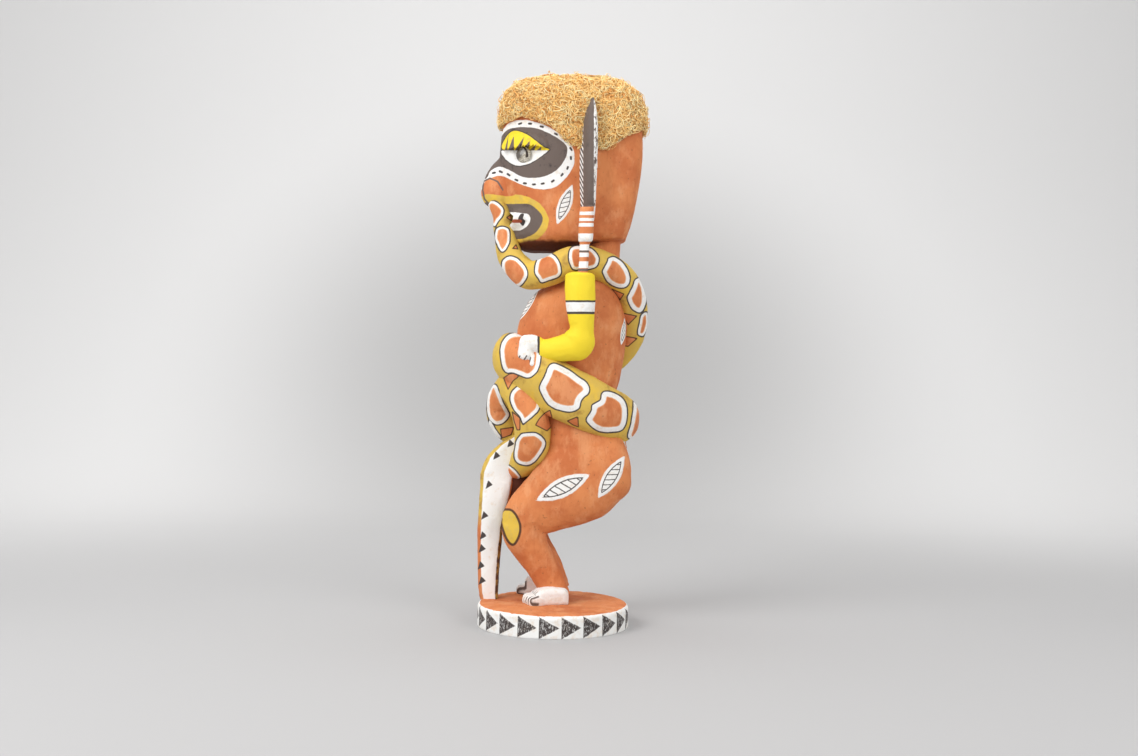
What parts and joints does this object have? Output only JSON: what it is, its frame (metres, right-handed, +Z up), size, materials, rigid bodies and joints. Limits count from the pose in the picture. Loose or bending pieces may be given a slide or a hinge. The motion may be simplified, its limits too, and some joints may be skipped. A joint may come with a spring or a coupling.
{
  "type": "ancestor figure",
  "caption": "Carved and painted wooden ancestor figure with bent knees, a long snake wound round it, shell eyes and a fibre wig, standing on a round disc.",
  "frame": {"origin": "centre of the round disc's flat underside", "axes": "+Z up along the figure, the figure faces -Y, its own left side is towards +X"},
  "size_m": [0.2179, 0.2261, 0.735],
  "materials": {
    "painted_wood": "matt earth paint over carved wood, terracotta with yellow, white and charcoal, worn at the edges",
    "bark_fibre": "dry shredded bark fibre, straw to brown",
    "sea_shell": "smooth polished shell"
  },
  "bodies": {
    "root": {"carved_figure": "painted_wood", "fibre_wig": "bark_fibre", "left_eye_shell": "sea_shell", "right_eye_shell": "sea_shell"}
  },
  "joints": []
}
